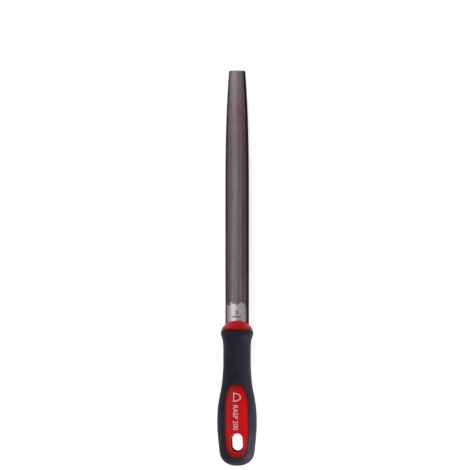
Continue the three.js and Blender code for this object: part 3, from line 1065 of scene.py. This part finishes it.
def lettering_mesh(name, height):
    """The window's words, which read down the handle, as thin closed plates that follow a surface."""
    curve = bpy.data.curves.new(name, "FONT")
    curve.body = PRINT_WORDS
    curve.offset = 0.012
    curve.resolution_u = 3
    flat = bpy.data.objects.new(name, curve)
    bpy.context.scene.collection.objects.link(flat)
    ready = flat.evaluated_get(bpy.context.evaluated_depsgraph_get())
    mesh = bpy.data.meshes.new_from_object(ready)
    bpy.data.objects.remove(flat)
    build = bmesh.new()
    build.from_mesh(mesh)
    places = np.array([vert.co[:2] for vert in build.verts])
    low, room = np.array(PRINT_LOW), np.subtract(PRINT_HIGH, PRINT_LOW)
    shares = (places - places.min(axis=0)) / np.ptp(places, axis=0)
    for vert, share in zip(build.verts, shares):
        vert.co = (low[0] + share[1] * room[0], PRINT_HIGH[1] - share[0] * room[1], 0)
    for x in np.arange(low[0] + 0.5, PRINT_HIGH[0], 0.5):
        everything = [*build.verts, *build.edges, *build.faces]
        bmesh.ops.bisect_plane(build, geom=everything, plane_co=(x, 0, 0), plane_no=(1, 0, 0))
    top = list(build.faces)
    copied = bmesh.ops.duplicate(build, geom=[*build.verts, *build.edges, *build.faces])
    partner = copied["vert_map"]
    sides = [edge.verts[:] for face in top for edge in face.edges if len(edge.link_faces) == 1]
    base = [found for found in copied["geom"] if isinstance(found, bmesh.types.BMVert)]
    for vert in build.verts:
        vert.co.z = float(height(vert.co.x, vert.co.y)) + PRINT_RISE
    for vert in base:
        vert.co.z -= PRINT_RISE + PLATE_DEPTH
    for first, second in sides:
        build.faces.new((first, second, partner[second], partner[first]))
    for vert in build.verts:
        vert.co *= MM
    bmesh.ops.recalc_face_normals(build, faces=build.faces)
    build.to_mesh(mesh)
    build.free()
    mesh.name = name
    return mesh


def window_ribbons():
    """A half-round sign above the words."""
    return [section_sign(centre=(-2.4, -53.0), height=7.2, bulge=6.2, stroke=0.85)]


def shoulder_ribbons():
    """A small half-round sign over a row of short strokes."""
    ribbons = [section_sign(centre=(-0.9, 13.9), height=3.3, bulge=2.2, stroke=0.8)]
    for k in range(5):
        left = -3.0 + BAR_PITCH * k
        ribbons.append(stroke_bar(left, left + BAR_LENGTH, y_middle=10.6, width=1.3))
    return ribbons


# --------------------------------------------------------------------------------------------------
# Operators
# --------------------------------------------------------------------------------------------------
class RASP_OT_blade(bpy.types.Operator):
    """Make the toothed blade with its shoulder and tang"""

    bl_idname = "rasp.blade"
    bl_label = "Blade"

    def execute(self, context):
        mesh = blade_mesh(context.scene.rasp_blade)
        made = piece(mesh, steel_material(context.scene.rasp_colours), sharp=50)
        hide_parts("rasp_blade")
        return {"FINISHED"}


class RASP_OT_core(bpy.types.Operator):
    """Make the red core: the nose, the socket, the window pads and the hanging slot"""

    bl_idname = "rasp.core"
    bl_label = "Handle core"

    def execute(self, context):
        sizes = context.scene.rasp_handle
        body = combined(body_mesh(sizes), socket_mesh(context.scene.rasp_blade), "DIFFERENCE")
        body = combined(body, slot_cutter(sizes), "DIFFERENCE")
        mesh = combined(body, pads_mesh(sizes), "UNION")
        mesh.name = "core_moulding"
        made = piece(mesh, plastic_material(context.scene.rasp_colours, sizes))
        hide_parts("handle_core")
        return {"FINISHED"}


class RASP_OT_grip(bpy.types.Operator):
    """Make the soft grip over the core"""

    bl_idname = "rasp.grip"
    bl_label = "Soft grip"

    def execute(self, context):
        mesh = grip_mesh(context.scene.rasp_handle)
        made = piece(mesh, rubber_material(context.scene.rasp_colours))
        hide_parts("grip_sleeve")
        return {"FINISHED"}


class RASP_OT_markings(bpy.types.Operator):
    """Print the window's silver signs and stamp the shoulder"""

    bl_idname = "rasp.markings"
    bl_label = "Markings"

    def execute(self, context):
        scene = context.scene
        handle, blade = scene.rasp_handle, scene.rasp_blade

        def window_height(x, y):
            return handle_height(x, y, handle) - PAD_SINK

        def shoulder_height(x, y):
            radius, centre, _ = crown_arc(*blade_section(MARK_PLACE, blade))
            return centre + np.sqrt((radius - blade.tooth_rise / MM) ** 2 - x**2) + 0 * y

        silver = print_material(scene.rasp_colours)
        sign = ribbons_mesh("window_sign", window_ribbons(), window_height, PRINT_RISE)
        piece(sign, silver)
        piece(lettering_mesh("window_words", window_height), silver)
        stamp = ribbons_mesh("shoulder_mark", shoulder_ribbons(), shoulder_height, MARK_RISE)
        piece(stamp, mark_material(scene.rasp_colours))
        return {"FINISHED"}


class RASP_OT_stage(bpy.types.Operator):
    """Set the floor, the lights and the camera"""

    bl_idname = "rasp.stage"
    bl_label = "Stage"

    def execute(self, context):
        scene = context.scene
        make_floor(scene)
        make_lights(scene)
        make_camera(scene)
        return {"FINISHED"}


# --------------------------------------------------------------------------------------------------
# Stage
# --------------------------------------------------------------------------------------------------
FRAME_WIDTH = 374.6  # what the view spans at the tool, in millimetres
VIEW_CENTRE = (-1.6, 75.7, 0)  # what the view's middle looks at, in the tool's frame
VIEW_DISTANCE = 2400
VIEW_TURN = math.radians(3)  # how far the camera stands round to the right of the convex face
FLOOR_HALF, FLOOR_PARTS = 4000.0, 8
FLOOR_GLOW = 0.62
SURROUND = 0.48  # how bright the pale surround is
TOOL_MIDDLE, PALM_MIDDLE = (0, 40, 0), (0, -95, 0)  # what the lights are aimed at
LIGHTS = (  # name, place from the tool's middle in metres, size, power, spread in degrees, aim
    ("overhead", (-1.35, 0.2, 2.2), 1.6, 19, 180, TOOL_MIDDLE),
    ("key", (0.0, 2.1, 1.6), 1.1, 13, 180, TOOL_MIDDLE),
    ("handle_fill", (0.46, -0.42, 0.15), 0.12, 0.105, 24, PALM_MIDDLE),
)


def make_floor(scene):
    """A wide plain floor that the tool lies on. It glows a little, like a light table."""
    line = np.linspace(-FLOOR_HALF, FLOOR_HALF, FLOOR_PARTS + 1)
    points = [(x, y, 0) for y in line for x in line]
    mesh = mesh_from("floor", points, quads(len(line), len(line)))
    material, g, shader, place = new_material("Plain floor")
    soft = g.noise({"Vector": place, "Scale": 3.0, "Detail": 1.0})
    pale = scene.rasp_colours.floor_pale
    g.feed(shader.inputs["Base Color"], g.layered(tinted(pale, 0.98), (soft, pale)))
    shader.inputs["Roughness"].default_value = 0.85
    shader.inputs["Emission Color"].default_value = (1, 1, 1, 1)
    shader.inputs["Emission Strength"].default_value = FLOOR_GLOW
    mesh.materials.append(material)
    floor = bpy.data.objects.new("floor", mesh)
    scene.collection.objects.link(floor)


def make_lights(scene):
    """A large soft light overhead, a key beyond the tip, a weak fill on the palm and a pale surround."""
    middle = TOOL @ (Vector(TOOL_MIDDLE) * MM)
    for name, place, size, power, spread, aim in LIGHTS:
        data = bpy.data.lights.new(name, "AREA")
        data.size = size
        data.energy = power
        data.spread = math.radians(spread)
        lamp = bpy.data.objects.new(name, data)
        scene.collection.objects.link(lamp)
        lamp.location = middle + Vector(place)
        facing = TOOL @ (Vector(aim) * MM) - lamp.location
        lamp.rotation_euler = facing.to_track_quat("-Z", "Y").to_euler()
    world = bpy.data.worlds.new("surround")
    world.use_nodes = True
    background = world.node_tree.nodes["Background"]
    background.inputs["Color"].default_value = (0.93, 0.94, 0.96, 1)
    background.inputs["Strength"].default_value = SURROUND
    scene.world = world


def make_camera(scene):
    """A long lens that looks straight at the convex face, from slightly to its right."""
    data = bpy.data.cameras.new("camera")
    data.lens = data.sensor_width * VIEW_DISTANCE / FRAME_WIDTH
    data.clip_end = 50
    camera = bpy.data.objects.new("camera", data)
    scene.collection.objects.link(camera)
    turn = Matrix.Rotation(VIEW_TURN, 4, "Y")
    middle = Matrix.Translation(Vector(VIEW_CENTRE) * MM)
    camera.matrix_world = TOOL @ middle @ turn @ Matrix.Translation((0, 0, VIEW_DISTANCE * MM))
    scene.camera = camera
    scene.view_settings.view_transform = "Standard"


# --------------------------------------------------------------------------------------------------
# Panel and registration
# --------------------------------------------------------------------------------------------------
STEPS = (RASP_OT_blade, RASP_OT_core, RASP_OT_grip, RASP_OT_markings, RASP_OT_stage)


class RASP_PT_panel(bpy.types.Panel):
    """Lists the rasp's pieces, sizes and colours"""

    bl_idname = "RASP_PT_panel"
    bl_label = "Half-round rasp"
    bl_space_type = "VIEW_3D"
    bl_region_type = "UI"
    bl_category = "Rasp"

    def draw(self, context):
        for step in STEPS:
            self.layout.operator(step.bl_idname)
        for label, group in GROUPS.items():
            box = self.layout.box()
            for name in group.__annotations__:
                box.prop(getattr(context.scene, label), name)


GROUPS = {"rasp_blade": RaspBladeSizes, "rasp_handle": RaspHandleSizes, "rasp_colours": RaspColours}
CLASSES = (*GROUPS.values(), *STEPS, RASP_PT_panel)


def register():
    for entry in CLASSES:
        bpy.utils.register_class(entry)
    for name, group in GROUPS.items():
        setattr(bpy.types.Scene, name, bpy.props.PointerProperty(type=group))


def unregister():
    for name in GROUPS:
        delattr(bpy.types.Scene, name)
    for entry in reversed(CLASSES):
        bpy.utils.unregister_class(entry)


def main():
    """Builds everything in order."""
    register()
    for step in STEPS:
        group, name = step.bl_idname.split(".")
        getattr(getattr(bpy.ops, group), name)()


if __name__ == "__main__":
    main()
